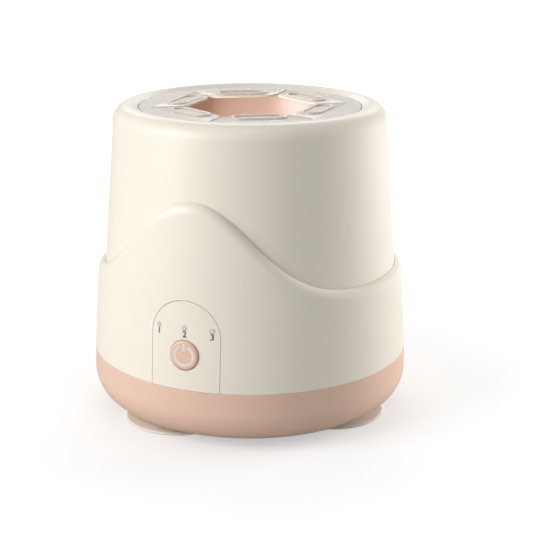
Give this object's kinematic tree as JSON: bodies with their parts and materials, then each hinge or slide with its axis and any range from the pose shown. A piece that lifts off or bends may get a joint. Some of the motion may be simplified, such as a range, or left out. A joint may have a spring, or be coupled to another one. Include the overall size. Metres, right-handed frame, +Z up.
{
  "type": "bottle shaker",
  "caption": "Electric bottle shaker: a tapered drum with a wavy skirt, arched control panel, slit soft gripper round the mouth, spinning cup and suction feet.",
  "frame": {"origin": "on the spin axis, at the table under the suction feet", "axes": "+Z up along the spin axis; the control panel faces -Y; +X to the panel's right as seen from the front"},
  "size_m": [0.127, 0.127, 0.122],
  "materials": {
    "peach_shell": "satin",
    "cream_shell": "satin",
    "white_inlay": "gloss",
    "board": "satin",
    "steel": "plain",
    "black_plastic": "matt",
    "battery_sleeve": "gloss",
    "brass": "plain",
    "rubber": "matt",
    "gear_plastic": "matt",
    "silicone": "satin",
    "wire_sleeve": "satin"
  },
  "bodies": {
    "housing": {"base_tray": "peach_shell", "skirt": "cream_shell", "upper_shell": "cream_shell", "control_panel": "cream_shell", "indicator_lenses": "white_inlay", "indicator_leds": "white_inlay", "control_board": "board", "charge_board": "board", "board_screws": "steel", "charge_screws": "steel", "chassis_screws": "steel", "motor_screws": "steel", "case_screws": "steel", "charge_socket": "steel", "motor_can": "steel", "tact_switch": "black_plastic", "socket_tongue": "black_plastic", "battery_holder": "black_plastic", "chassis": "black_plastic", "battery": "battery_sleeve", "battery_contacts": "brass", "upper_bush": "brass", "lower_bush": "brass", "chassis_grommets": "rubber", "motor_end_cap": "gear_plastic", "suction_foot_1": "silicone", "suction_foot_2": "silicone", "suction_foot_3": "silicone", "suction_foot_4": "silicone", "motor_leads": "wire_sleeve", "battery_leads": "wire_sleeve", "link_leads": "wire_sleeve"},
    "cup": {"cup": "peach_shell", "cup_pad": "silicone", "cup_screw": "steel", "gripper_ring": "silicone", "spindle": "steel", "retaining_clip": "steel", "thrust_washer": "gear_plastic", "drive_gear": "gear_plastic"},
    "rotor": {"motor_shaft": "steel", "pinion": "brass"},
    "button": {"power_button": "peach_shell", "power_symbol": "white_inlay", "switch_plunger": "black_plastic"},
    "flap_1": {"flap_1": "silicone"},
    "flap_2": {"flap_2": "silicone"},
    "flap_3": {"flap_3": "silicone"},
    "flap_4": {"flap_4": "silicone"},
    "flap_5": {"flap_5": "silicone"},
    "flap_6": {"flap_6": "silicone"}
  },
  "joints": [
    {"name": "cup_spin", "type": "hinge", "parent": "housing", "child": "cup", "pos_m": [0, 0, 0.05], "axis": [0, 0, 1], "continuous": true},
    {"name": "motor_spin", "type": "hinge", "parent": "housing", "child": "rotor", "pos_m": [0.032, 0, 0.04], "axis": [0, 0, 1], "continuous": true},
    {"name": "button_press", "type": "slide", "parent": "housing", "child": "button", "axis": [0, 1, 0], "range_m": [0, 0.0008], "stiffness_N_per_m": 600},
    {"name": "flap_1_bend", "type": "hinge", "parent": "cup", "child": "flap_1", "pos_m": [0.0168, -0.0291, 0.1203], "axis": [-0.866, -0.5, 0], "range_deg": [0, 75], "stiffness_Nm_per_rad": 0.004},
    {"name": "flap_2_bend", "type": "hinge", "parent": "cup", "child": "flap_2", "pos_m": [0.0336, 0, 0.1203], "axis": [0, -1, 0], "range_deg": [0, 75], "stiffness_Nm_per_rad": 0.004},
    {"name": "flap_3_bend", "type": "hinge", "parent": "cup", "child": "flap_3", "pos_m": [0.0168, 0.0291, 0.1203], "axis": [0.866, -0.5, 0], "range_deg": [0, 75], "stiffness_Nm_per_rad": 0.004},
    {"name": "flap_4_bend", "type": "hinge", "parent": "cup", "child": "flap_4", "pos_m": [-0.0168, 0.0291, 0.1203], "axis": [0.866, 0.5, 0], "range_deg": [0, 75], "stiffness_Nm_per_rad": 0.004},
    {"name": "flap_5_bend", "type": "hinge", "parent": "cup", "child": "flap_5", "pos_m": [-0.0336, 0, 0.1203], "axis": [0, 1, 0], "range_deg": [0, 75], "stiffness_Nm_per_rad": 0.004},
    {"name": "flap_6_bend", "type": "hinge", "parent": "cup", "child": "flap_6", "pos_m": [-0.0168, -0.0291, 0.1203], "axis": [-0.866, 0.5, 0], "range_deg": [0, 75], "stiffness_Nm_per_rad": 0.004}
  ],
  "couplings": [
    {"joint": "motor_spin", "follows": "cup_spin", "ratio": -4}
  ]
}
